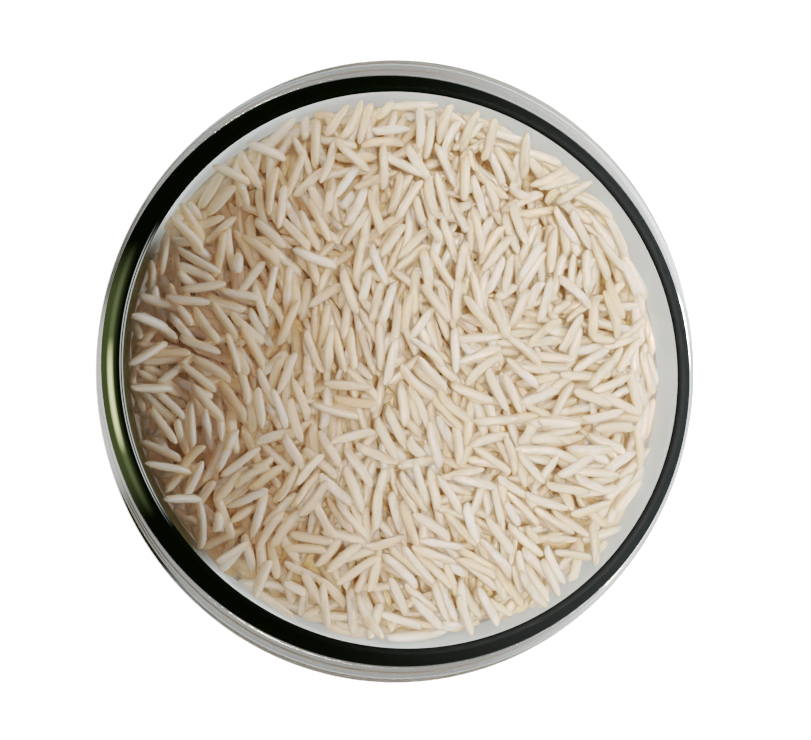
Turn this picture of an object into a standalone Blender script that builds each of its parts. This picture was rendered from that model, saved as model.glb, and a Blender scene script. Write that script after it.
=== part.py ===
"""A round glass bowl of raw long-grain rice, at its real size.

The bowl is one turned solid: a thick base with a foot ring, straight walls, a flange that a lid would sit on,
and a thick sloping lip. The flange is slightly oval. The rice is one solid: a core that fills the bowl,
with bumps of a grain's size round its side and separate grains fused all over its top.
Metres, +Z up. The origin is on the table, on the bowl's axis.
"""

import math
import random

import bmesh
import bpy
from mathutils import Matrix, Vector, noise

MM = 0.001

# The bowl, from the table up
BOWL_HEIGHT = 60 * MM
MOUTH_RADIUS = 47.75 * MM
INSIDE_TAPER = 1.2 * MM
FLOOR_THICKNESS = 5.0 * MM
INSIDE_CORNER = 7.0 * MM
OUTSIDE_TOP_RADIUS = 51.2 * MM
OUTSIDE_TAPER = 1.8 * MM
OUTSIDE_CORNER = 5.0 * MM
FOOT_WIDTH = 5.0 * MM
FOOT_RECESS = 0.8 * MM

# The sloping lip and the flange under it
LIP_ROUND = 0.7 * MM
LIP_DROP = 10.0 * MM
LIP_BULGE = 0.25
LIP_FOOT_RADIUS = 52.0 * MM
FLANGE_STEP = 0.3 * MM
FLANGE_REACH_X = 0.9 * MM
FLANGE_REACH_Y = 2.9 * MM
FLANGE_THICKNESS = 3.0 * MM
FLANGE_GROOVE = 0.4 * MM
OUT_OF_ROUND = 0.012
BOWL_SEGMENTS = 64
CORE_SEGMENTS = 44

# The rice
GAP = 0.35 * MM
RICE_DEPTH = 6.5 * MM
RICE_DIP = 8.0 * MM
RICE_SWELL = 1.0 * MM
RICE_SWELL_LENGTH = 24.0 * MM
SIDE_BUMP = 0.8 * MM
TOP_BUMP = 0.6 * MM
SIDE_ROWS = 9
TOP_RINGS = 5
GRAIN_LENGTH = 7.5 * MM
GRAIN_WIDTH = 1.8 * MM
GRAIN_THICKNESS = 1.6 * MM
GRAIN_SIDES = 4
GRAIN_SHOULDER = 0.27
GRAIN_SINK = 0.2 * MM
GRAIN_COUNT = 215
GRAIN_SPACING = 4.2 * MM
GRAIN_PITCH = math.radians(9)
SEED = 7


def paint(name, colour, roughness, transmission=0.0):
    """A plain material of one colour."""
    material = bpy.data.materials.new(name)
    material.use_nodes = True
    shader = material.node_tree.nodes["Principled BSDF"]
    shader.inputs["Base Color"].default_value = (*colour, 1.0)
    shader.inputs["Roughness"].default_value = roughness
    shader.inputs["Metallic"].default_value = 0.0
    shader.inputs["Transmission Weight"].default_value = transmission
    return material


def arc(centre_r, centre_z, radius, start, end, steps):
    """Points of a round corner in the profile's plane, as (r, z), from one angle in degrees to another."""
    angles = [math.radians(start + (end - start) * i / steps) for i in range(steps + 1)]
    return [(centre_r + radius * math.cos(a), centre_z + radius * math.sin(a)) for a in angles]


def inside_radius(z):
    """The bowl's inner wall, which narrows a little towards the floor."""
    return MOUTH_RADIUS - INSIDE_TAPER * (BOWL_HEIGHT - z) / (BOWL_HEIGHT - FLOOR_THICKNESS)


def outside_radius(z):
    """The bowl's outer wall below the flange."""
    return OUTSIDE_TOP_RADIUS - OUTSIDE_TAPER * (BOWL_HEIGHT - z) / BOWL_HEIGHT


def lip_profile():
    """From the flange's top up the lip's bulging slope, and over its crest to the inner wall."""
    crest_r = MOUTH_RADIUS + LIP_ROUND
    slope = []
    for share in (1.0, 0.75, 0.5, 0.25):
        drop = LIP_DROP * (share * (1 - LIP_BULGE) + LIP_BULGE * share**2)
        slope.append((crest_r + (LIP_FOOT_RADIUS - crest_r) * share, BOWL_HEIGHT - drop))
    crest = arc(crest_r, BOWL_HEIGHT - LIP_ROUND, LIP_ROUND, 90, 180, 3)
    return slope + crest


def flange_profile():
    """From the outer wall, out under the flange, round its edge and back over its grooved top."""
    top = BOWL_HEIGHT - LIP_DROP - FLANGE_STEP
    under = top - FLANGE_THICKNESS
    edge_r = LIP_FOOT_RADIUS + FLANGE_REACH_X
    points = [(outside_radius(under - FLANGE_THICKNESS / 2), under - FLANGE_THICKNESS / 2)]
    points += [(LIP_FOOT_RADIUS, under)]
    points += [(edge_r, under + FLANGE_THICKNESS / 3), (edge_r, top - FLANGE_THICKNESS / 3)]
    for share, drop in ((0.8, 0.0), (0.5, FLANGE_GROOVE), (0.2, 0.0)):
        points.append((LIP_FOOT_RADIUS + FLANGE_REACH_X * share, top - drop))
    return points


def bowl_profile():
    """The bowl's half section, from the centre of its underside round to the centre of its floor."""
    foot_outer = outside_radius(0) - OUTSIDE_CORNER
    foot_inner = foot_outer - FOOT_WIDTH
    under = [(0, FOOT_RECESS), (foot_inner - 1.5 * MM, FOOT_RECESS), (foot_inner, 0)]
    corner = arc(foot_outer, OUTSIDE_CORNER, OUTSIDE_CORNER, -90, 0, 4)
    inside_centre = inside_radius(FLOOR_THICKNESS + INSIDE_CORNER) - INSIDE_CORNER
    inner_corner = arc(inside_centre, FLOOR_THICKNESS + INSIDE_CORNER, INSIDE_CORNER, 0, -90, 5)
    return under + corner + flange_profile() + lip_profile() + inner_corner + [(0, FLOOR_THICKNESS)]


def turned(profile, segments):
    """A bmesh of the profile turned once round the Z axis, closed at both poles."""
    mesh = bmesh.new()
    ring = [mesh.verts.new((r, 0, z)) for r, z in profile]
    edges = [mesh.edges.new(pair) for pair in zip(ring, ring[1:])]
    bmesh.ops.spin(
        mesh,
        geom=ring + edges,
        cent=(0, 0, 0),
        axis=(0, 0, 1),
        angle=math.tau,
        steps=segments,
        use_merge=True,
    )
    bmesh.ops.remove_doubles(mesh, verts=mesh.verts, dist=1e-6)
    bmesh.ops.recalc_face_normals(mesh, faces=mesh.faces)
    return mesh


def object_from(mesh, name, material):
    """A scene object that holds this bmesh."""
    data = bpy.data.meshes.new(name)
    mesh.to_mesh(data)
    mesh.free()
    made = bpy.data.objects.new(name, data)
    bpy.context.scene.collection.objects.link(made)
    data.materials.append(material)
    return made


def make_bowl(material):
    """The turned bowl, with its flange drawn out to an oval and the rest pressed a little out of round."""
    mesh = turned(bowl_profile(), BOWL_SEGMENTS)
    for vertex in mesh.verts:
        radius = math.hypot(vertex.co.x, vertex.co.y)
        past = max(0.0, radius - LIP_FOOT_RADIUS)
        if past > 1e-5:
            side = (vertex.co.y / radius) ** 2
            stretch = 1 + (FLANGE_REACH_Y / FLANGE_REACH_X - 1) * side
            grown = (LIP_FOOT_RADIUS + past * stretch) / radius
            vertex.co.x *= grown
            vertex.co.y *= grown
        pressed = OUT_OF_ROUND * (1 - past / FLANGE_REACH_X)
        x, y = vertex.co.x, vertex.co.y
        vertex.co.x = x - pressed * y
        vertex.co.y = y - pressed * x
    bowl = object_from(mesh, "glass_bowl", material)
    bowl.data.shade_smooth()
    bowl.data.set_sharp_from_angle(angle=math.radians(35))
    return bowl


def heap_top(x, y):
    """The height of the rice's surface: level, with gentle swells, and a dip down the wall at +X."""
    full = MOUTH_RADIUS - GAP
    dip = RICE_DIP * min(1.0, max(0.0, x) / full) ** 8
    swell = noise.noise(Vector((x, y, 0)) / RICE_SWELL_LENGTH)
    return BOWL_HEIGHT - RICE_DEPTH - dip + RICE_SWELL * swell


def core_profile():
    """The core's half section: floor, rounded corner, side rows, and rings in to the middle of the top."""
    floor = FLOOR_THICKNESS + GAP
    corner_z = floor + INSIDE_CORNER
    corner_r = inside_radius(corner_z) - GAP - INSIDE_CORNER
    top = BOWL_HEIGHT - RICE_DEPTH - TOP_BUMP
    corner = arc(corner_r, corner_z, INSIDE_CORNER - GAP, -90, 0, 4)
    rows = [corner_z + (top - corner_z) * i / SIDE_ROWS for i in range(1, SIDE_ROWS + 1)]
    side = [(inside_radius(z) - GAP, z) for z in rows]
    edge_r = side[-1][0]
    rings = [(edge_r * (1 - i / (TOP_RINGS + 1)), top) for i in range(1, TOP_RINGS + 1)]
    return [(0, floor)] + corner + side + rings + [(0, top)]


def make_core(material):
    """The rice that fills the bowl, with bumps of a grain's size pressed into its side and its top."""
    draw = random.Random(SEED)
    mesh = turned(core_profile(), CORE_SEGMENTS)
    mesh.verts.ensure_lookup_table()
    side_start = FLOOR_THICKNESS + GAP + INSIDE_CORNER
    top = BOWL_HEIGHT - RICE_DEPTH - TOP_BUMP
    for vertex in mesh.verts:
        radius = math.hypot(vertex.co.x, vertex.co.y)
        on_top = abs(vertex.co.z - top) < 1e-6
        on_side = side_start < vertex.co.z < top - 1e-6
        if on_side:
            surface = heap_top(vertex.co.x, vertex.co.y)
            share = (vertex.co.z - side_start) / (top - side_start)
            vertex.co.z = side_start + share * (surface - TOP_BUMP - side_start)
            pressed = 1 - SIDE_BUMP * draw.random() / radius
            vertex.co.x *= pressed
            vertex.co.y *= pressed
        if on_top:
            surface = heap_top(vertex.co.x, vertex.co.y)
            vertex.co.z = surface - TOP_BUMP * (1 + draw.random())
    return object_from(mesh, "rice", material)


def grain_mesh():
    """One raw grain, lying along X: a slim spindle, a little flattened, with blunt ends."""
    mesh = bmesh.new()
    shoulders = []
    for end in (-1, 1):
        ring = []
        for side in range(GRAIN_SIDES):
            turn = math.tau * side / GRAIN_SIDES + math.pi / 2
            ring.append(
                mesh.verts.new(
                    (
                        end * GRAIN_LENGTH * GRAIN_SHOULDER,
                        GRAIN_WIDTH / 2 * math.cos(turn),
                        GRAIN_THICKNESS / 2 * math.sin(turn),
                    )
                )
            )
        tip = mesh.verts.new((end * GRAIN_LENGTH / 2, 0, 0))
        shoulders.append(ring)
        for side in range(GRAIN_SIDES):
            mesh.faces.new((ring[side], ring[(side + 1) % GRAIN_SIDES], tip))
    for side in range(GRAIN_SIDES):
        follow = (side + 1) % GRAIN_SIDES
        mesh.faces.new((shoulders[0][side], shoulders[1][side], shoulders[1][follow], shoulders[0][follow]))
    bmesh.ops.recalc_face_normals(mesh, faces=mesh.faces)
    data = bpy.data.meshes.new("grain")
    mesh.to_mesh(data)
    mesh.free()
    return data


def flow_heading(x, y, draw):
    """The way a grain points: the heap slid in patches, so neighbours lie roughly alike."""
    patch = noise.noise(Vector((x, y, 40 * MM)) / RICE_SWELL_LENGTH)
    return math.radians(110) + math.pi * patch + draw.gauss(0, math.radians(32))


def surface_normal(x, y):
    """The direction that the heap's surface faces."""
    step = 1.0 * MM
    along_x = heap_top(x + step, y) - heap_top(x - step, y)
    along_y = heap_top(x, y + step) - heap_top(x, y - step)
    return Vector((-along_x, -along_y, 2 * step)).normalized()


def grain_places():
    """The grains' centres and headings, evenly spread over the top and wholly inside the wall."""
    draw = random.Random(SEED + 1)
    reach = inside_radius(BOWL_HEIGHT - RICE_DEPTH) - 2 * GAP
    places = []
    tries = 0
    while len(places) < GRAIN_COUNT and tries < 60000:
        tries += 1
        radius = reach * math.sqrt(draw.random())
        angle = math.tau * draw.random()
        x, y = radius * math.cos(angle), radius * math.sin(angle)
        if any(math.hypot(x - other[0], y - other[1]) < GRAIN_SPACING for other in places):
            continue
        heading = flow_heading(x, y, draw)
        half = Vector((math.cos(heading), math.sin(heading))) * (GRAIN_LENGTH / 2)
        ends = (Vector((x, y)) + half, Vector((x, y)) - half)
        if max(end.length for end in ends) < reach and radius < reach - GRAIN_WIDTH / 2:
            places.append((x, y, heading, draw.gauss(0, GRAIN_PITCH), draw.uniform(0.9, 1.08)))
    return places


def fuse_grains(core, material):
    """Lays the grains on the core and joins them to it in one Boolean union."""
    heap = bpy.data.collections.new("grains")
    bpy.context.scene.collection.children.link(heap)
    shape = grain_mesh()
    shape.materials.append(material)
    for number, (x, y, heading, pitch, size) in enumerate(grain_places()):
        up = surface_normal(x, y)
        forward = Vector((math.cos(heading), math.sin(heading), 0))
        forward = (forward - up * forward.dot(up)).normalized()
        side = up.cross(forward)
        turn = Matrix((forward, side, up)).transposed() @ Matrix.Rotation(pitch, 3, "Y")
        grain = bpy.data.objects.new(f"grain_{number}", shape)
        heap.objects.link(grain)
        place = Vector((x, y, heap_top(x, y))) - up * GRAIN_SINK
        grain.matrix_world = Matrix.LocRotScale(place, turn.to_quaternion(), Vector((size, 1, 1)))
    join = core.modifiers.new("fuse", "BOOLEAN")
    join.operation = "UNION"
    join.operand_type = "COLLECTION"
    join.collection = heap
    join.solver = "MANIFOLD"
    bpy.context.view_layer.objects.active = core
    bpy.ops.object.modifier_apply(modifier=join.name)
    for grain in list(heap.objects):
        bpy.data.objects.remove(grain)
    bpy.data.collections.remove(heap)
    bpy.data.meshes.remove(shape)


def keep_outer_shell(heap):
    """Drops the small closed shells that fusing leaves, such as a hollow sealed between grains."""
    mesh = bmesh.new()
    mesh.from_mesh(heap.data)
    unseen = set(mesh.verts)
    shells = []
    while unseen:
        shell = set()
        front = [unseen.pop()]
        while front:
            vertex = front.pop()
            shell.add(vertex)
            for edge in vertex.link_edges:
                other = edge.other_vert(vertex)
                if other in unseen:
                    unseen.remove(other)
                    front.append(other)
        shells.append(shell)
    shells.sort(key=len)
    for shell in shells[:-1]:
        bmesh.ops.delete(mesh, geom=list(shell), context="VERTS")
    mesh.to_mesh(heap.data)
    mesh.free()


def main():
    for old in list(bpy.data.objects):
        bpy.data.objects.remove(old)
    glass = paint("clear_glass", (0.78, 0.84, 0.80), 0.03, transmission=1.0)
    grain = paint("raw_rice", (0.72, 0.60, 0.44), 0.45)
    make_bowl(glass)
    rice = make_core(grain)
    fuse_grains(rice, grain)
    keep_outer_shell(rice)
    rice.data.transform(Matrix(((1, -OUT_OF_ROUND, 0, 0), (-OUT_OF_ROUND, 1, 0, 0), (0, 0, 1, 0), (0, 0, 0, 1))))


main()
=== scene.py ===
"""The looks of a round glass bowl of raw long-grain rice.

The bowl is one turned piece of clear glass whose thick sloping lip carries a painted dark and green
reflection.
grain by grain: each one is dropped on what lies under it, tips until it rests, and raises the pile for
the next. Metres, +Z up. The camera looks almost straight down into the bowl.
"""

import math

import bmesh
import bpy
import numpy as np
from mathutils import Matrix, Vector, noise


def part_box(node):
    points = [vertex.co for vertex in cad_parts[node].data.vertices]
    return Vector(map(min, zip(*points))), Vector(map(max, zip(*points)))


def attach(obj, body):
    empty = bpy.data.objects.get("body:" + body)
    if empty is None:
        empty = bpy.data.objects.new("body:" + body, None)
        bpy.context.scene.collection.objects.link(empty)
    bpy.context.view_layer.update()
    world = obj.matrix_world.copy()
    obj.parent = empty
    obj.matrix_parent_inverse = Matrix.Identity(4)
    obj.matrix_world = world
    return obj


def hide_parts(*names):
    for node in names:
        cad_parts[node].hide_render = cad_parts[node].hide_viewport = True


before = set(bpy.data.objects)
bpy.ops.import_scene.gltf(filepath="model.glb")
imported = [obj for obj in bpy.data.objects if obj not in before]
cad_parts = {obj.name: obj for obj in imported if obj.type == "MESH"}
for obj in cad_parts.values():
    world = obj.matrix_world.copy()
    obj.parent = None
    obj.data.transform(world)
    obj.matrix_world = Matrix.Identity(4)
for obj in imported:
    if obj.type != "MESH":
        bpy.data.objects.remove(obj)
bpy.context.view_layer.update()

MM = 0.001

# The bowl's sizes, the same as its solid's
_, BOWL_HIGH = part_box("glass_bowl")
BOWL_HEIGHT = BOWL_HIGH[2]
MOUTH_RADIUS = 47.75 * MM
INSIDE_TAPER = 1.2 * MM
FLOOR_THICKNESS = 5.0 * MM
INSIDE_CORNER = 7.0 * MM
OUTSIDE_TOP_RADIUS = 51.2 * MM
OUTSIDE_TAPER = 1.8 * MM
OUTSIDE_CORNER = 5.0 * MM
FOOT_WIDTH = 5.0 * MM
FOOT_RECESS = 0.8 * MM
LIP_ROUND = 0.7 * MM
LIP_DROP = 10.0 * MM
LIP_BULGE = 0.25
# How far down from the mouth the lip's painted dark reflection reaches, where the inner wall begins
DARK_MOUTH = 2.0 * MM
INNER_BAND_COVER = 3.0 * MM
# Where the lip's painted streak of light runs, and the two painted highlight lines at the mouth's edge
PAINTED_STREAK_RADIUS = 50.1 * MM
PAINTED_MOUTH_HIGHLIGHTS = (0.06 * MM, 0.4 * MM)
LIP_FOOT_RADIUS = 52.0 * MM
FLANGE_STEP = 0.3 * MM
FLANGE_REACH_X = BOWL_HIGH[0] - LIP_FOOT_RADIUS
FLANGE_REACH_Y = BOWL_HIGH[1] - LIP_FOOT_RADIUS
FLANGE_THICKNESS = 3.0 * MM
# Two low ridges on the flange, as (share of its reach, mm under its top)
FLANGE_RIDGES = ((0.58, 0.18), (0.52, 0.5), (0.44, 0.5), (0.38, 0.15), (0.28, 0.02), (0.1, 0.05))
OUT_OF_ROUND = 0.012
BOWL_SEGMENTS = 180

# The bowl's finishes, in their order on its faces
CLEAR_FACE, LIP_FACE, INNER_FACE = range(3)

# The linear map that presses a round thing longer from upper left to lower right
PRESS = np.array(((1, -OUT_OF_ROUND, 0), (-OUT_OF_ROUND, 1, 0), (0, 0, 1)))

# The heap's surface, the same as its solid's
GAP = 0.35 * MM
RICE_DEPTH = 6.5 * MM
RICE_DIP = 8.0 * MM
RICE_DIP_POWER = 8
RICE_SWELL = 1.0 * MM
RICE_SWELL_LENGTH = 24.0 * MM

# The grains' shape
GRAIN_LENGTH = 8.0 * MM
GRAIN_WIDTH = 1.72 * MM
GRAIN_THICKNESS = 1.5 * MM
BLUNT_TIP = 6.0
FINE_TIP = 3.4
TIP_ROUNDING = 0.52
TIP_SLANT = 0.5
GRAIN_AROUND = 7
GRAIN_RINGS = 8
SIZE_SPREAD = 0.06
BROKEN_SHARE = 0.05

# How the grains are laid
LAY_SPREAD = math.radians(28)
STRAY_SHARE = 0.15
WALL_COVER = 2.0 * MM
WALL_BELT = 4.0 * MM
DIPPED = 2.0 * MM
WALL_LAYER = 4.4 * MM
WALL_RISE = 1.6 * MM
WALL_SPARES = 5
STEEPEST = 0.5
FLATNESS = 0.25
CELL = 0.4 * MM
GRID_HALF = 120
PRINT_ALONG = 21
PRINT_ACROSS = 5
SLOPE_STEPS = 31
TRIES = 14
FLOOR_GRAINS = 620
SPARES = 40
TOP_SLACK = 0.3 * MM
OVER_SURFACE = 1.7 * MM
MOST_TRIES = 6000
LEANING = 80
LEAN_ROOM = 4.6 * MM
LEAN_SLOPES = (0.4, 1.0)
LEAN_SIDES = (math.radians(40), math.radians(335))
SEED = 11

# The heap's hidden core, and how far down the grains grow darker with painted shade
CORE_DEPTH = 6.6 * MM
CORE_FLOOR_GAP = 1.6 * MM
CORE_SEGMENTS = 64
SHADE_DEPTH = 4.0 * MM

# The heap's parts, each one mesh
AT_FLOOR, AT_WALL, IN_HEAP = range(3)
ZONE_NAMES = ("rice_at_floor", "rice_at_wall", "rice_heap")

# Ways the grains point in parts of the heap, as (x mm, y mm, degrees), seen in the photograph
LAYS = (
    (-25, 27, 120),
    (-2, 34, 58),
    (22, 27, 95),
    (-37, 4, 150),
    (-14, 8, 100),
    (3, 0, 115),
    (30, 2, 12),
    (37, -14, 175),
    (-30, -18, 68),
    (-10, -22, 92),
    (8, -28, 118),
    (24, -27, 135),
)

# The camera, from the parallax between the rim, the flange and the rice
CAMERA_PLACE = Vector((-30.2, -6.3, 307.0)) * MM + Vector((0, 0, BOWL_HEIGHT))
CAMERA_AIM = Vector((-0.03, -0.15, 0)) * MM + Vector((0, 0, BOWL_HEIGHT))
CAMERA_LENS = 80.4

# How bright light is shown, as (light, shown), up to the light that is shown white
WHITEST = 4.0
SHOULDER = (
    (0.1, 0.1),
    (0.2, 0.2),
    (0.3, 0.29),
    (0.5, 0.41),
    (0.75, 0.5),
    (1.2, 0.62),
    (1.8, 0.7),
    (2.8, 0.8),
)


def tone(red, green, blue):
    """A colour given as it looks on a screen, 0 to 255, in the linear values that shaders use."""
    shares = (red / 255, green / 255, blue / 255)
    return tuple(s / 12.92 if s <= 0.04045 else ((s + 0.055) / 1.055) ** 2.4 for s in shares)


class Wire:
    """A socket in a finish. Arithmetic on it adds Math nodes."""

    def __init__(self, finish, socket):
        self.finish = finish
        self.socket = socket

    def maths(self, operation, *values):
        return self.finish.add("ShaderNodeMath", dict(enumerate(values)), operation=operation)

    def __add__(self, other):
        return self.maths("ADD", self, other)

    def __mul__(self, other):
        return self.maths("MULTIPLY", self, other)

    def __sub__(self, other):
        return self.maths("SUBTRACT", self, other)

    def __rsub__(self, other):
        return self.maths("SUBTRACT", other, self)

    def __truediv__(self, other):
        return self.maths("DIVIDE", self, other)

    def __pow__(self, other):
        return self.maths("POWER", self, other)

    def __abs__(self):
        return self.maths("ABSOLUTE", self)

    __radd__ = __add__
    __rmul__ = __mul__

    def rise(self, low, high):
        """0 below low, 1 above high, and smooth between them."""
        inputs = {0: self, 1: low, 2: high, 3: 0.0, 4: 1.0}
        return self.finish.add("ShaderNodeMapRange", inputs, interpolation_type="SMOOTHSTEP")


class Finish:
    """A node tree whose nodes are added by one method."""

    def __init__(self, name, tree=None):
        if tree is None:
            self.material = bpy.data.materials.new(name)
            self.material.use_nodes = True
            tree = self.material.node_tree
            self.shader = tree.nodes["Principled BSDF"]
        self.tree = tree

    def feed(self, socket, value):
        """Links a wire to a socket, or sets the socket to a number or colour."""
        if isinstance(value, Wire):
            self.tree.links.new(value.socket, socket)
        elif isinstance(value, tuple) and len(value) == 3 and socket.type == "RGBA":
            socket.default_value = (*value, 1.0)
        else:
            socket.default_value = value

    def add(self, kind, inputs, output=0, **settings):
        """A node of this kind, with its settings made first and then its inputs."""
        node = self.tree.nodes.new(kind)
        for key, value in settings.items():
            setattr(node, key, value)
        for key, value in inputs.items():
            self.feed(node.inputs[key], value)
        return Wire(self, node.outputs[output])

    def blend(self, share, first, second):
        """A colour between two, by a share from 0 to 1."""
        inputs = {"Factor": share, 6: first, 7: second}
        return self.add("ShaderNodeMix", inputs, output=2, data_type="RGBA")

    def place(self):
        """Where on the object the surface is."""
        return self.add("ShaderNodeTexCoord", {}, output="Object")

    def axes(self, place):
        """The X, Y and Z of a place."""
        split = self.tree.nodes.new("ShaderNodeSeparateXYZ")
        self.feed(split.inputs[0], place)
        return [Wire(self, output) for output in split.outputs]

    def attribute(self, name):
        """A number that the mesh keeps for each of its points."""
        return self.add("ShaderNodeAttribute", {}, output="Fac", attribute_name=name)

    def grit(self, place, scale):
        """Soft random spots."""
        inputs = {"Vector": place, "Scale": scale, "Detail": 2.0}
        return self.add("ShaderNodeTexNoise", inputs, output="Fac")

    def set(self, **sockets):
        """Sets or links the surface shader's sockets by their names."""
        for name, value in sockets.items():
            self.feed(self.shader.inputs[name.replace("_", " ")], value)

    def glow(self, colour, strength=1.0):
        """Light that the surface adds to itself, too weak to be counted among the lamps."""
        self.set(Emission_Color=colour, Emission_Strength=strength)
        self.material.cycles.emission_sampling = "NONE"


def arc(centre_r, centre_z, radius, start, end, steps):
    """Points of a round corner, as (r, z), from one angle in degrees to another."""
    angles = [math.radians(start + (end - start) * i / steps) for i in range(steps + 1)]
    return [(centre_r + radius * math.cos(a), centre_z + radius * math.sin(a)) for a in angles]


def inside_radius(z):
    """The bowl's inner wall, which narrows a little towards the floor."""
    return MOUTH_RADIUS - INSIDE_TAPER * (BOWL_HEIGHT - z) / (BOWL_HEIGHT - FLOOR_THICKNESS)


def outside_radius(z):
    """The bowl's outer wall below the flange."""
    return OUTSIDE_TOP_RADIUS - OUTSIDE_TAPER * (BOWL_HEIGHT - z) / BOWL_HEIGHT


def lip_profile():
    """From the flange's top up the lip's bulging slope, and over its crest to the inner wall."""
    crest_r = MOUTH_RADIUS + LIP_ROUND
    slope = []
    for share in np.linspace(1, 0, 14, endpoint=False):
        drop = LIP_DROP * (share * (1 - LIP_BULGE) + LIP_BULGE * share**2)
        slope.append((crest_r + (LIP_FOOT_RADIUS - crest_r) * share, BOWL_HEIGHT - drop))
    return slope + arc(crest_r, BOWL_HEIGHT - LIP_ROUND, LIP_ROUND, 90, 180, 8)


def flange_profile():
    """From the outer wall, out under the flange, round its edge and back over its two low ridges."""
    top = BOWL_HEIGHT - LIP_DROP - FLANGE_STEP
    under = top - FLANGE_THICKNESS
    reach = FLANGE_REACH_X
    points = [
        (outside_radius(under - 1.6 * MM), under - 1.6 * MM),
        (outside_radius(under) + 0.2 * MM, under - 0.6 * MM),
        (outside_radius(under) + 0.7 * MM, under - 0.1 * MM),
        (LIP_FOOT_RADIUS, under),
        (LIP_FOOT_RADIUS + 0.7 * reach, under + 0.1 * MM),
    ]
    points += arc(LIP_FOOT_RADIUS + 0.7 * reach, under + 1.0 * MM, 0.3 * reach, -60, 0, 4)
    points += arc(LIP_FOOT_RADIUS + 0.7 * reach, top - 0.6 * MM, 0.3 * reach, 0, 80, 5)
    for share, drop in FLANGE_RIDGES:
        points.append((LIP_FOOT_RADIUS + share * reach, top - drop * MM))
    return points


def bowl_profile():
    """The bowl's half section, from the centre of its underside round to the centre of its floor."""
    foot_outer = outside_radius(0) - OUTSIDE_CORNER
    foot_inner = foot_outer - FOOT_WIDTH
    under = [(0, FOOT_RECESS), (foot_inner * 0.5, FOOT_RECESS), (foot_inner - 1.6 * MM, FOOT_RECESS)]
    under += [(foot_inner - 0.9 * MM, FOOT_RECESS * 0.8), (foot_inner - 0.3 * MM, 0.1 * MM), (foot_inner, 0)]
    corner = arc(foot_outer, OUTSIDE_CORNER, OUTSIDE_CORNER, -90, 0, 10)
    wall_high = BOWL_HEIGHT - LIP_DROP - FLANGE_THICKNESS - 2.5 * MM
    heights = [OUTSIDE_CORNER + (wall_high - OUTSIDE_CORNER) * i / 8 for i in range(1, 9)]
    wall = [(outside_radius(z), z) for z in heights]
    inside_low = FLOOR_THICKNESS + INSIDE_CORNER
    wall_top = BOWL_HEIGHT - DARK_MOUTH
    heights = [wall_top - (wall_top - inside_low) * i / 10 for i in range(10)]
    inner_wall = [(inside_radius(z), z) for z in heights]
    inner_corner = arc(inside_radius(inside_low) - INSIDE_CORNER, inside_low, INSIDE_CORNER, 0, -90, 12)
    floor = [(20 * MM, FLOOR_THICKNESS), (0, FLOOR_THICKNESS)]
    return under + corner + wall + flange_profile() + lip_profile() + inner_wall + inner_corner + floor


def turned(profile, segments):
    """A bmesh of the profile turned once round the Z axis, closed at both poles."""
    mesh = bmesh.new()
    ring = [mesh.verts.new((r, 0, z)) for r, z in profile]
    edges = [mesh.edges.new(pair) for pair in zip(ring, ring[1:])]
    bmesh.ops.spin(
        mesh,
        geom=ring + edges,
        cent=(0, 0, 0),
        axis=(0, 0, 1),
        angle=math.tau,
        steps=segments,
        use_merge=True,
    )
    bmesh.ops.remove_doubles(mesh, verts=mesh.verts, dist=1e-6)
    bmesh.ops.recalc_face_normals(mesh, faces=mesh.faces)
    return mesh


def piece_from(mesh, name, *materials):
    """A scene object that holds this bmesh, at the origin."""
    data = bpy.data.meshes.new(name)
    mesh.to_mesh(data)
    mesh.free()
    made = bpy.data.objects.new(name, data)
    bpy.context.scene.collection.objects.link(made)
    for material in materials:
        data.materials.append(material)
    return made


def share_out_finishes(mesh):
    """Marks the faces of the lip and of the inner wall over the rice. The others stay clear."""
    crest_r = MOUTH_RADIUS + LIP_ROUND
    lip_foot = BOWL_HEIGHT - LIP_DROP
    inner_low = BOWL_HEIGHT - RICE_DEPTH - RICE_DIP - INNER_BAND_COVER
    for face in mesh.faces:
        middle = face.calc_center_median()
        radius = math.hypot(middle.x, middle.y)
        if middle.z > BOWL_HEIGHT - DARK_MOUTH or (middle.z > lip_foot and radius > crest_r):
            face.material_index = LIP_FACE
        elif middle.z > inner_low and radius < crest_r:
            face.material_index = INNER_FACE


def press_out_of_round(mesh):
    """Draws the flange out to an oval and presses the rest a little out of round."""
    for vertex in mesh.verts:
        radius = math.hypot(vertex.co.x, vertex.co.y)
        past = max(0.0, radius - LIP_FOOT_RADIUS)
        if past > 1e-5:
            side = (vertex.co.y / radius) ** 2
            stretch = 1 + (FLANGE_REACH_Y / FLANGE_REACH_X - 1) * side
            grown = (LIP_FOOT_RADIUS + past * stretch) / radius
            vertex.co.x *= grown
            vertex.co.y *= grown
        pressed = OUT_OF_ROUND * (1 - past / FLANGE_REACH_X)
        x, y = vertex.co.x, vertex.co.y
        vertex.co.x = x - pressed * y
        vertex.co.y = y - pressed * x


def make_bowl():
    """The glass, as one turned piece."""
    mesh = turned(bowl_profile(), BOWL_SEGMENTS)
    share_out_finishes(mesh)
    press_out_of_round(mesh)
    bowl = piece_from(mesh, "clear_bowl", clear_finish(), lip_finish(), inner_wall_finish())
    bowl.data.shade_smooth()
    bowl.data.set_sharp_from_angle(angle=math.radians(50))
    bowl.visible_shadow = False
    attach(bowl, "root")
    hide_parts("glass_bowl")


def from_axis(finish):
    """A place's X and Y from before the glass was pressed out of round, and its distance from the axis."""
    x, y, _ = finish.axes(finish.place())
    x, y = x + y * OUT_OF_ROUND, y + x * OUT_OF_ROUND
    return x, y, (x * x + y * y) ** 0.5


def toward(finish, degrees, start, end):
    """How far a place lies towards a side of the bowl: 0 where the cosine is under start, 1 over end."""
    x, y, radius = from_axis(finish)
    turn = math.radians(degrees)
    cosine = (x * math.cos(turn) + y * math.sin(turn)) / radius
    return cosine.rise(start, end)


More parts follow.
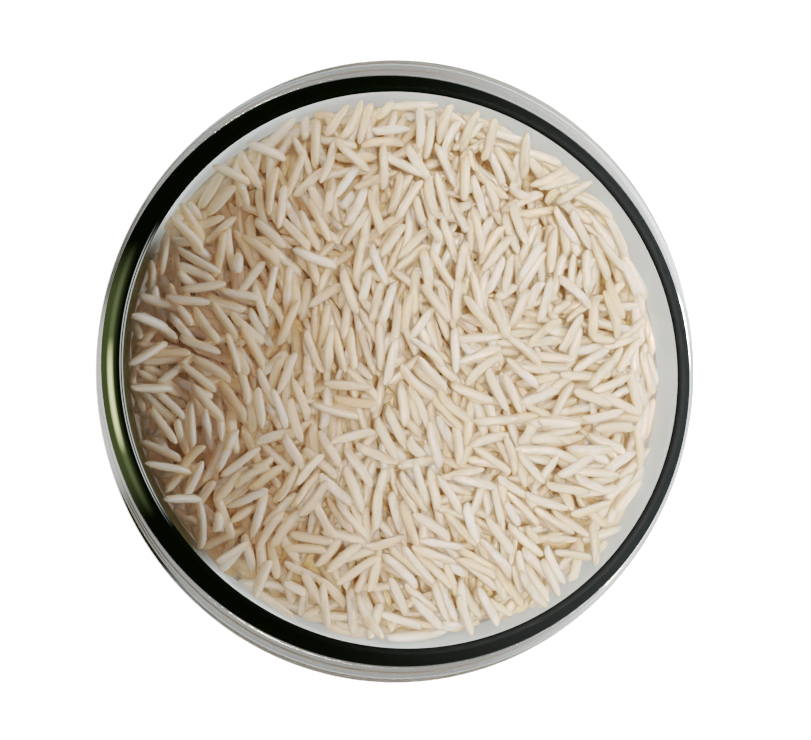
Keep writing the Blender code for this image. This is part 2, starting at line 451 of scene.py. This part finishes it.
def clear_finish():
    """Clear, polished glass; its flange has a painted glow for the room's light on the right and far left.
    """
    finish = Finish("clear_glass_wall")
    right = toward(finish, 5, 0.1, 1.0)
    left = toward(finish, 186, 0.93, 0.99)
    _, _, radius = from_axis(finish)
    flange = radius.rise(LIP_FOOT_RADIUS - 0.1 * MM, LIP_FOOT_RADIUS)
    none = (0.0, 0.0, 0.0)
    painted_window_reflection = (0.36, 0.37, 0.37)
    painted_wall_reflection = (0.3, 0.31, 0.3)
    finish.set(Base_Color=tone(246, 250, 247), Roughness=0.02, Transmission_Weight=1.0, IOR=1.5)
    # Painted reflection: the flange glows grey on the right and at the far left
    finish.glow(finish.blend(flange * left, finish.blend(flange * right, none, painted_window_reflection), painted_wall_reflection))
    return finish.material


def lip_finish():
    """The lip, painted as a dark reflection: grey-blue at right; painted green light and highlights at left.
    """
    finish = Finish("lip_painted_reflection")
    right = toward(finish, -10, -0.3, 0.9)
    green = toward(finish, 183, 0.88, 0.98)
    bright = toward(finish, 186, 0.978, 0.9995)
    edge = toward(finish, 182, 0.84, 0.94)
    _, _, radius = from_axis(finish)
    off = radius - PAINTED_STREAK_RADIUS
    streak = 1 - abs(off).rise(0.1 * MM, 0.8 * MM)
    near_black = (0.001, 0.002, 0.0)
    painted_green_reflection = (0.055, 0.072, 0.022)
    painted_green_streak = (0.15, 0.19, 0.08)
    painted_streak_highlight = (1.25, 1.35, 0.65)
    painted_highlight_white = (0.7, 0.75, 0.7)
    # Painted reflection and highlights on the left: green light, a bright streak and two thin lines at the
    # mouth
    glow = finish.blend(green * off.rise(-1.6 * MM, 0.2 * MM), near_black, painted_green_reflection)
    glow = finish.blend(streak * green * 0.7, glow, painted_green_streak)
    glow = finish.blend(streak * bright, glow, painted_streak_highlight)
    for width in PAINTED_MOUTH_HIGHLIGHTS:
        line = 1 - abs(radius - MOUTH_RADIUS - width).rise(0.02 * MM, 0.12 * MM)
        glow = finish.blend(line * edge, glow, painted_highlight_white)
    # Painted dark reflection of the room: very dark, turning grey-blue on the right
    painted_dark_reflection = tone(2, 3, 2)
    painted_slate_reflection = tone(30, 34, 37)
    finish.set(Base_Color=finish.blend(right, painted_dark_reflection, painted_slate_reflection), Roughness=0.6, Specular_IOR_Level=0.0)
    finish.glow(glow)
    return finish.material


def inner_wall_finish():
    """The inner wall over the rice: painted pale reflection and glow, brighter near the mouth, olive on the
    left.
    """
    finish = Finish("inner_glass_painted_reflection")
    left = toward(finish, 188, 0.74, 0.86)
    _, _, z = finish.axes(finish.place())
    # Painted light: the wall glows brighter towards the mouth
    high = z.rise(BOWL_HEIGHT - 5 * MM, BOWL_HEIGHT - DARK_MOUTH)
    # Painted reflection: pale, turning dark olive on the left
    painted_reflection_colour = finish.blend(left, tone(220, 240, 255), tone(44, 46, 24))
    finish.set(Base_Color=painted_reflection_colour, Roughness=0.25, Transmission_Weight=0.15, IOR=1.2)
    painted_glow_low = (0.4, 0.45, 0.45)
    painted_highlight_top = (0.62, 0.67, 0.68)
    painted_olive_reflection = (0.008, 0.009, 0.0)
    finish.glow(finish.blend(left, finish.blend(high, painted_glow_low, painted_highlight_top), painted_olive_reflection))
    return finish.material


def heap_top(x, y):
    """The height of the rice's surface: level, with gentle swells, and a dip down the wall at +X."""
    full = MOUTH_RADIUS - GAP
    dip = RICE_DIP * min(1.0, max(0.0, x) / full) ** RICE_DIP_POWER
    swell = noise.noise(Vector((x, y, 0)) / RICE_SWELL_LENGTH)
    return BOWL_HEIGHT - RICE_DEPTH - dip + RICE_SWELL * swell


def girth(along):
    """How thick grains are at places along them, as a share of the middle: one tip blunt and one fine."""
    power = np.where(along < 0, BLUNT_TIP, FINE_TIP)
    return (1 - np.abs(along) ** power) ** TIP_ROUNDING


class Pile:
    """A height map of the rice laid so far, and the grains that made it."""

    def __init__(self, floor):
        self.draw = np.random.default_rng(SEED)
        steps = (np.arange(-GRID_HALF, GRID_HALF + 1)) * CELL
        self.x, self.y = np.meshgrid(steps, steps, indexing="ij")
        self.radius = np.hypot(self.x, self.y)
        self.height = np.full(self.x.shape, floor)
        self.grains = []
        along = np.linspace(-1, 1, PRINT_ALONG)[:, None]
        across = np.linspace(-0.85, 0.85, PRINT_ACROSS)[None, :]
        thick = girth(along)
        self.along = np.repeat(along, PRINT_ACROSS, axis=1).ravel()
        self.across = (thick * across).ravel()
        self.under = (thick * np.sqrt(1 - across**2)).ravel()
        self.slopes = np.linspace(-STEEPEST, STEEPEST, SLOPE_STEPS)
        self.ceiling = np.full(self.x.shape, BOWL_HEIGHT)

    def footprint(self, x, y, heading, size):
        """The places under grains: one row of points for each grain."""
        length, width = size[0] / 2, size[1] / 2
        cos, sin = np.cos(heading)[:, None], np.sin(heading)[:, None]
        px = x[:, None] + length * self.along * cos - width * self.across * sin
        py = y[:, None] + length * self.along * sin + width * self.across * cos
        return px, py

    def cells(self, px, py):
        """The height map's columns and rows at some places."""
        column = np.clip(np.rint(px / CELL).astype(int) + GRID_HALF, 0, 2 * GRID_HALF)
        row = np.clip(np.rint(py / CELL).astype(int) + GRID_HALF, 0, 2 * GRID_HALF)
        return column, row

    def settle(self, x, y, heading, size, zone, slopes=None):
        """Of several tries round a place, lays the grain that sinks deepest, if one fits inside the wall."""
        slopes = self.slopes if slopes is None else slopes
        px, py = self.footprint(x, y, heading, size)
        column, row = self.cells(px, py)
        ground = self.height[column, row] + size[2] / 2 * self.under
        lever = size[0] / 2 * self.along
        lifts = (ground[:, None, :] - slopes[None, :, None] * lever).max(axis=2)
        best_slope = lifts.argmin(axis=1)
        lift = lifts.min(axis=1)
        slope = slopes[best_slope]
        reach = np.hypot(px, py).max(axis=1)
        room = inside_radius(lift) - GAP / 3
        tops = lift[:, None] + slope[:, None] * lever + size[2] / 2 * self.under
        fits = (reach < room) & (tops < self.ceiling[column, row]).all(axis=1)
        cost = np.where(fits, lift + FLATNESS * np.abs(slope) * size[0], np.inf)
        pick = int(cost.argmin())
        if not np.isfinite(cost[pick]):
            return False
        top = lift[pick] + slope[pick] * lever + size[2] / 2 * self.under
        np.maximum.at(self.height, (column[pick], row[pick]), top)
        self.grains.append((x[pick], y[pick], lift[pick], heading[pick], slope[pick], *size, zone))
        return True

    def grain_size(self):
        """A grain's length, width and thickness: a few are broken."""
        length = GRAIN_LENGTH * np.clip(self.draw.normal(1, SIZE_SPREAD), 0.82, 1.12)
        if self.draw.random() < BROKEN_SHARE:
            length *= self.draw.uniform(0.45, 0.7)
        width = GRAIN_WIDTH * np.clip(self.draw.normal(1, SIZE_SPREAD), 0.88, 1.14)
        return length, width, width * GRAIN_THICKNESS / GRAIN_WIDTH

    def spread(self, x, y, heading, jitter, turn):
        """Several tries near one place and heading."""
        xs = x + self.draw.normal(0, jitter, TRIES)
        ys = y + self.draw.normal(0, jitter, TRIES)
        return xs, ys, heading + self.draw.normal(0, turn, TRIES)

    def fill_floor(self):
        """One loose layer over the glass floor."""
        for _ in range(FLOOR_GRAINS):
            radius = (inside_radius(FLOOR_THICKNESS) - 3 * MM) * math.sqrt(self.draw.random())
            angle = math.tau * self.draw.random()
            heading = math.tau * self.draw.random()
            x, y = radius * math.cos(angle), radius * math.sin(angle)
            tries = self.spread(x, y, heading, jitter=1 * MM, turn=0.4)
            self.settle(*tries, self.grain_size(), AT_FLOOR)

    def lowest(self, inner, outer, spares, target):
        """Of several random places in a ring, the one that lies lowest under a surface."""
        radius = np.sqrt(self.draw.uniform(inner**2, outer**2, spares))
        angle = math.tau * self.draw.random(spares)
        xs, ys = radius * np.cos(angle), radius * np.sin(angle)
        cells = self.cells(xs, ys)
        pick = int((target[cells] - self.height[cells]).argmax())
        return xs[pick], ys[pick], angle[pick]

    def fill_wall(self, target):
        """Rounds of grains between the core and the glass, up to just under the heap's surface."""
        inner = MOUTH_RADIUS - WALL_LAYER
        core = self.radius < inner
        level = FLOOR_THICKNESS + INSIDE_CORNER / 2
        while level < target.max() - WALL_COVER:
            surface = np.minimum(level, target - WALL_COVER)
            self.height[core] = np.minimum(surface, target - CORE_DEPTH)[core]
            outer = inside_radius(level) - 1.0 * MM
            ring = (self.radius > inner) & (self.radius < outer)
            while (surface - self.height)[ring].mean() > 0:
                x, y, angle = self.lowest(inner, outer, WALL_SPARES, surface)
                heading = angle + math.pi / 2 + self.draw.normal(0, 0.35)
                tries = self.spread(x, y, heading, jitter=0.5 * MM, turn=0.15)
                self.settle(*tries, self.grain_size(), AT_WALL)
            level += WALL_RISE

    def fill_top(self, target):
        """The heap's visible layers, laid lowest place first, until their tops reach the surface."""
        edge = inside_radius(BOWL_HEIGHT - RICE_DEPTH) - 0.9 * MM
        inside = self.radius < edge
        self.ceiling = target + OVER_SURFACE
        for _ in range(MOST_TRIES):
            if (target - self.height)[inside].mean() < TOP_SLACK:
                break
            x, y, angle = self.lowest(0, edge, SPARES, target)
            size = self.grain_size()
            heading = lay_at(x, y) + self.draw.normal(0, LAY_SPREAD) + math.pi * self.draw.integers(2)
            if self.draw.random() < STRAY_SHARE:
                heading = math.tau * self.draw.random()
            if math.hypot(x, y) > edge - WALL_BELT:
                heading = math.tau * self.draw.random()
                if heap_top(x, y) < BOWL_HEIGHT - RICE_DEPTH - DIPPED:
                    heading = angle + math.pi / 2 + self.draw.normal(0, 0.4)
                radius = min(math.hypot(x, y), edge - size[0] / 2 * abs(math.cos(heading - angle)))
                x, y = radius * math.cos(angle), radius * math.sin(angle)
            self.settle(*self.spread(x, y, heading, jitter=0.9 * MM, turn=0.35), size, IN_HEAP)

    def lean_on_wall(self):
        """Grains that lean on the glass with one tip up."""
        self.ceiling = np.minimum(self.ceiling + LEAN_ROOM, BOWL_HEIGHT)
        for _ in range(LEANING):
            size = self.grain_size()
            slope = self.draw.uniform(*LEAN_SLOPES)
            angle = self.draw.uniform(*LEAN_SIDES)
            heading = angle + self.draw.normal(0, 0.4)
            out = size[0] / 2 / math.hypot(1, slope) * math.cos(heading - angle)
            radius = inside_radius(BOWL_HEIGHT - RICE_DEPTH) - 0.4 * MM - out
            x, y = radius * math.cos(angle), radius * math.sin(angle)
            tries = self.spread(x, y, heading, jitter=0.3 * MM, turn=0.1)
            self.settle(*tries, size, IN_HEAP, np.array([slope]))


def lay_at(x, y):
    """The way grains point at a place, blended from the nearest lays."""
    sum_cos, sum_sin = 0.0, 0.0
    for lay_x, lay_y, degrees in LAYS:
        weight = 1 / ((x - lay_x * MM) ** 2 + (y - lay_y * MM) ** 2 + (6 * MM) ** 2) ** 1.5
        sum_cos += weight * math.cos(math.radians(2 * degrees))
        sum_sin += weight * math.sin(math.radians(2 * degrees))
    return math.atan2(sum_sin, sum_cos) / 2


def grain_shape():
    """One grain along X, from -1 to 1: full-bodied, bowed a little, one tip blunter than the other."""
    mesh = bmesh.new()
    bmesh.ops.create_uvsphere(mesh, u_segments=GRAIN_AROUND, v_segments=GRAIN_RINGS, radius=1)
    bmesh.ops.rotate(mesh, verts=mesh.verts, cent=(0, 0, 0), matrix=Matrix.Rotation(math.pi / 2, 3, "Y"))
    for vertex in mesh.verts:
        x, y, z = vertex.co
        around = math.hypot(y, z)
        along = math.copysign(abs(x) ** 0.85, x)
        if around > 1e-6:
            vertex.co.y = y / around * girth(along)
            vertex.co.z = z / around * girth(along)
        vertex.co.y += TIP_SLANT * max(0.0, -along) ** 6
        vertex.co.x = along
    data = bpy.data.meshes.new("grain")
    mesh.to_mesh(data)
    mesh.free()
    points = np.empty(len(data.vertices) * 3)
    data.vertices.foreach_get("co", points)
    faces = [tuple(face.vertices) for face in data.polygons]
    bpy.data.meshes.remove(data)
    return points.reshape(-1, 3), faces


def grain_axes(heading, slope, roll):
    """Each grain's forward, side and up directions."""
    forward = np.stack([np.cos(heading), np.sin(heading), slope], axis=1)
    forward /= np.linalg.norm(forward, axis=1, keepdims=True)
    flat = np.stack([-np.sin(heading), np.cos(heading), np.zeros_like(heading)], axis=1)
    rise = np.cross(forward, flat)
    side = flat * np.cos(roll)[:, None] + rise * np.sin(roll)[:, None]
    return forward, side, np.cross(forward, side)


def make_grains(name, grains, finish, draw, surface):
    """All grains of one zone as one joined mesh, which keeps each grain's tone and length for the finish."""
    shape, faces = grain_shape()
    table = np.array([grain[:-1] for grain in grains])
    count = len(table)
    centre = table[:, :3]
    roll = draw.normal(0, 0.5, count)
    forward, side, up = grain_axes(table[:, 3], table[:, 4], roll)
    bow = draw.normal(0, 0.28, count)
    half = table[:, 5:8] / 2
    along = shape[:, 0]
    lengths = half[:, 0, None] * along
    widths = half[:, 1, None] * (shape[:, 1] + bow[:, None] * (1 - along**2))
    heights = half[:, 2, None] * shape[:, 2]
    points = centre[:, None, :] + lengths[..., None] * forward[:, None, :]
    points = points + widths[..., None] * side[:, None, :] + heights[..., None] * up[:, None, :]

    corners = np.array([index for face in faces for index in face])
    sizes = np.array([len(face) for face in faces])
    shifts = np.arange(count)[:, None] * len(shape)
    data = bpy.data.meshes.new(name)
    data.vertices.add(count * len(shape))
    data.vertices.foreach_set("co", (points @ PRESS).ravel())
    data.loops.add(count * len(corners))
    data.loops.foreach_set("vertex_index", (corners[None, :] + shifts).ravel())
    data.polygons.add(count * len(faces))
    all_sizes = np.tile(sizes, count)
    data.polygons.foreach_set("loop_start", np.concatenate([[0], np.cumsum(all_sizes)[:-1]]))
    data.update(calc_edges=True)
    data.shade_smooth()
    # How deep each point lies under the heap's surface, which the finish turns into painted shade and glow
    under = (surface(points[..., 0], points[..., 1]) - points[..., 2]) / SHADE_DEPTH
    turn = np.arctan2(shape[:, 2], shape[:, 1]) / math.tau
    around = np.rint(turn * GRAIN_AROUND).astype(int) % GRAIN_AROUND
    notes = {
        "streak": draw.random((count, GRAIN_AROUND))[:, around].ravel(),
        "deep": np.clip(under, 0, 1).ravel(),
        "chalk": np.repeat(draw.random(count), len(shape)),
        "tint": np.repeat(draw.random(count), len(shape)),
        "along": np.tile(along, count),
    }
    for note, values in notes.items():
        data.attributes.new(note, "FLOAT", "POINT").data.foreach_set("value", values)
    data.materials.append(finish)
    made = bpy.data.objects.new(name, data)
    bpy.context.scene.collection.objects.link(made)
    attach(made, "root")
    return made


def rice_finish():
    """Raw rice: creamy and a little glassy, with tan tips and chalky white hearts in some grains."""
    finish = Finish("raw_rice_grain")
    place = finish.place()
    chalk = finish.attribute("chalk")
    tint = finish.attribute("tint")
    along = finish.attribute("along")
    cloud = finish.grit(place, 500.0)
    tips = abs(along).rise(0.55, 1.0)
    deep = finish.attribute("deep")
    streak = finish.attribute("streak")
    dark_cream = tone(237, 211, 174)
    light_cream = tone(250, 237, 213)
    milk = tone(253, 249, 240)
    straw = tone(226, 196, 152)
    tip_tan = tone(236, 212, 174)
    shade = tone(226, 196, 156)
    chalk_white = tone(252, 249, 245)
    cream = finish.blend(tint, dark_cream, light_cream)
    cream = finish.blend(streak.rise(0.5, 1.0) * 0.7, cream, milk)
    cream = finish.blend((1 - streak).rise(0.6, 1.0) * 0.5, cream, straw)
    cream = finish.blend(tips * 0.3, cream, tip_tan)
    # Painted shade: the deeper a grain lies under the heap's surface, the darker and warmer it is
    cream = finish.blend(deep.rise(0.1, 1.0), cream, shade)
    heart = chalk.rise(0.72, 0.95) * (1 - tips) * cloud.rise(0.35, 0.6)
    white = finish.blend(heart * 0.8, cream, chalk_white)
    finish.set(
        Base_Color=white,
        Roughness=0.45,
        IOR=1.3,
        Coat_Weight=0.6,
        Coat_Roughness=0.3,
        Transmission_Weight=0.4,
        Subsurface_Weight=1.0,
        Subsurface_Radius=(1.0, 0.8, 0.6),
        Subsurface_Scale=2.2 * MM,
    )
    # Painted glow, warmer and stronger deeper in the heap, for light passed through the grains into the gaps
    finish.glow(finish.blend(deep.rise(0.0, 1.0), (0.1, 0.09, 0.08), (1.0, 0.8, 0.58)), strength=0.03)
    finish.shader.subsurface_method = "BURLEY"
    return finish.material


def core_profile():
    """The hidden core's half section: a plug that stands on the lowest grains."""
    low = FLOOR_THICKNESS + CORE_FLOOR_GAP
    high = BOWL_HEIGHT - RICE_DEPTH - CORE_DEPTH
    radius = MOUTH_RADIUS - WALL_LAYER
    rings = [(radius * (1 - i / 12), high) for i in range(1, 12)]
    side = [(radius - 1.2 * MM, low + INSIDE_CORNER), (radius, low + 12 * MM), (radius, high)]
    return [(0, low), (radius - 6 * MM, low)] + side + rings + [(0, high)]


def core_finish():
    """The rice deep in the heap, painted the tan of the warm shade between the grains that show."""
    finish = Finish("deep_rice_painted_shade")
    mottle = finish.grit(finish.place(), 900.0).rise(0.3, 0.7)
    finish.set(Base_Color=finish.blend(mottle, tone(190, 150, 104), tone(222, 188, 140)), Roughness=0.7)
    return finish.material


def make_core(finish):
    """The inside of the heap, under the grains that show."""
    mesh = turned(core_profile(), CORE_SEGMENTS)
    high = BOWL_HEIGHT - RICE_DEPTH - CORE_DEPTH
    for vertex in mesh.verts:
        if abs(vertex.co.z - high) < 1e-6:
            vertex.co.z = heap_top(vertex.co.x, vertex.co.y) - CORE_DEPTH
    core = piece_from(mesh, "rice_core", finish)
    core.data.transform(Matrix(PRESS).to_4x4())
    core.data.shade_smooth()
    core.data.set_sharp_from_angle(angle=math.radians(40))
    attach(core, "root")
    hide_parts("rice")


def make_rice():
    """Lays the grains and makes the pieces of rice."""
    finish = rice_finish()
    pile = Pile(FLOOR_THICKNESS + 0.1 * MM)
    corner = inside_radius(FLOOR_THICKNESS + INSIDE_CORNER) - INSIDE_CORNER
    out = np.clip((pile.radius - corner) / INSIDE_CORNER, 0, 0.999)
    pile.height += INSIDE_CORNER * (1 - np.sqrt(1 - out**2)) * (out > 0)
    pile.fill_floor()
    target = np.vectorize(heap_top)(pile.x, pile.y)
    pile.fill_wall(target)
    pile.fill_top(target)
    pile.lean_on_wall()
    draw = np.random.default_rng(SEED + 1)

    def surface(x, y):
        return target[pile.cells(x, y)]

    for zone, name in enumerate(ZONE_NAMES):
        grains = [grain for grain in pile.grains if grain[-1] == zone]
        make_grains(name, grains, finish, draw, surface)
    make_core(core_finish())


def make_stage():
    """A pale floor, a sky that is brighter on the right, a soft light above and a low one beside."""
    mesh = bmesh.new()
    bmesh.ops.create_grid(mesh, x_segments=1, y_segments=1, size=4.0)
    paint = Finish("pale_floor")
    white = (1.0, 1.0, 1.0)
    paint.set(Base_Color=(0.9, 0.9, 0.9), Roughness=0.9, Emission_Color=white, Emission_Strength=WHITEST)
    floor = piece_from(mesh, "floor", paint.material)
    floor.visible_transmission = False
    floor.visible_diffuse = False
    floor.visible_glossy = False

    world = bpy.data.worlds.new("room")
    bpy.context.scene.world = world
    world.use_nodes = True
    sky = Finish("sky", world.node_tree)
    x, _, z = sky.axes(sky.add("ShaderNodeTexCoord", {}, output="Generated"))
    dim_left = (0.035, 0.036, 0.042)
    bright_right = (0.4, 0.41, 0.41)
    below = (0.45, 0.43, 0.41)
    across = sky.blend(x.rise(0.0, 0.9), dim_left, bright_right)
    background = world.node_tree.nodes["Background"]
    sky.feed(background.inputs["Color"], sky.blend(z.rise(-0.15, 0.05), below, across))

    make_light(
        "window",
        place=(0.045, 0.01, 0.40),
        aim=(0.045, 0.01, 0),
        size=(0.11, 0.18),
        spread=12,
        watts=0.222,
        colour=(1.0, 0.83, 0.69),
    )
    make_light(
        "side_window",
        place=(0.30, 0.04, 0.22),
        aim=(-0.03, 0, BOWL_HEIGHT),
        size=(0.3, 0.03),
        spread=180,
        watts=1.3,
        colour=(1.0, 0.97, 0.95),
    )


def make_light(name, place, aim, size, spread, watts, colour):
    """A rectangular light that points at a spot and that the camera doesn't see."""
    data = bpy.data.lights.new(name, "AREA")
    data.shape = "RECTANGLE"
    data.size, data.size_y = size
    data.spread = math.radians(spread)
    data.energy = watts
    data.color = colour
    light = bpy.data.objects.new(name, data)
    light.location = place
    light.rotation_euler = (Vector(place) - Vector(aim)).to_track_quat("Z", "Y").to_euler()
    light.visible_camera = False
    bpy.context.scene.collection.objects.link(light)


def soften_highlights():
    """A film-like shoulder: bright tones are drawn together, dark tones stay as they are."""
    view = bpy.context.scene.view_settings
    view.view_transform = "Standard"
    view.use_curve_mapping = True
    mapping = view.curve_mapping
    mapping.white_level = (WHITEST, WHITEST, WHITEST)
    mapping.extend = "HORIZONTAL"
    curve = mapping.curves[3]
    for light, shown in SHOULDER:
        curve.points.new(light / WHITEST, shown)
    mapping.update()


def make_camera():
    """The camera, turned so that +Y is up in the picture."""
    forward = (CAMERA_AIM - CAMERA_PLACE).normalized()
    right = forward.cross(Vector((0, 1, 0))).normalized()
    up = right.cross(forward)
    data = bpy.data.cameras.new("camera")
    data.lens = CAMERA_LENS
    data.clip_start = 0.01
    camera = bpy.data.objects.new("camera", data)
    turn = Matrix((right, up, -forward)).transposed().to_4x4()
    camera.matrix_world = Matrix.Translation(CAMERA_PLACE) @ turn
    bpy.context.scene.collection.objects.link(camera)
    bpy.context.scene.camera = camera


make_camera()
make_stage()
soften_highlights()
make_bowl()
make_rice()
